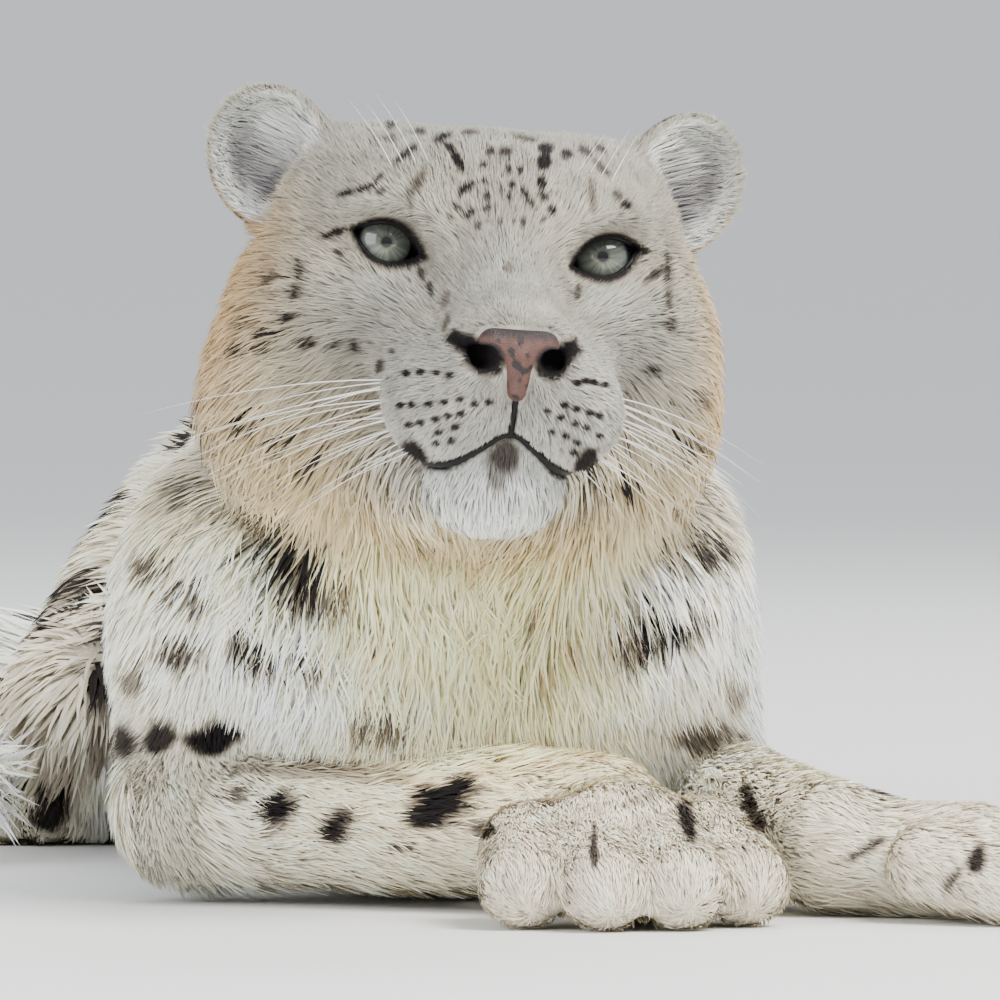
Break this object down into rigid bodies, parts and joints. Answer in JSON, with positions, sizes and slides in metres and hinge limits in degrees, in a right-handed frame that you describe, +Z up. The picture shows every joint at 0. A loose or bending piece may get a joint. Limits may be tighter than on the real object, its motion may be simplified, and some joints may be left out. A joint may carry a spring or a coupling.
{
  "type": "snow leopard model",
  "caption": "Life-size still model of a snow leopard lying on its belly, head up, one forearm laid across its chest and the tail curled round beside it.",
  "frame": {"origin": "on the floor under the middle of the belly", "axes": "+Z up, -Y the way the chest faces, +X the animal's left"},
  "size_m": [0.6675, 1.0781, 0.3231],
  "materials": {
    "coat": "dense pale grey fur with dark rosettes",
    "ear": "short fur, black and white behind",
    "nose": "bare matte pink-brown skin",
    "eye": "wet and glossy, grey-green iris"
  },
  "bodies": {
    "root": {"head": "coat", "nose": "nose", "eye_right": "eye", "eye_left": "eye", "ear_right": "ear", "ear_left": "ear", "neck": "coat", "trunk": "coat", "upper_arm_right": "coat", "upper_arm_left": "coat", "forearm_right": "coat", "forearm_left": "coat", "forepaw_right": "coat", "forepaw_left": "coat", "thigh_right": "coat", "thigh_left": "coat", "shank_right": "coat", "shank_left": "coat", "hindpaw_right": "coat", "hindpaw_left": "coat", "tail_1": "coat", "tail_2": "coat", "tail_3": "coat", "tail_4": "coat"}
  },
  "joints": []
}
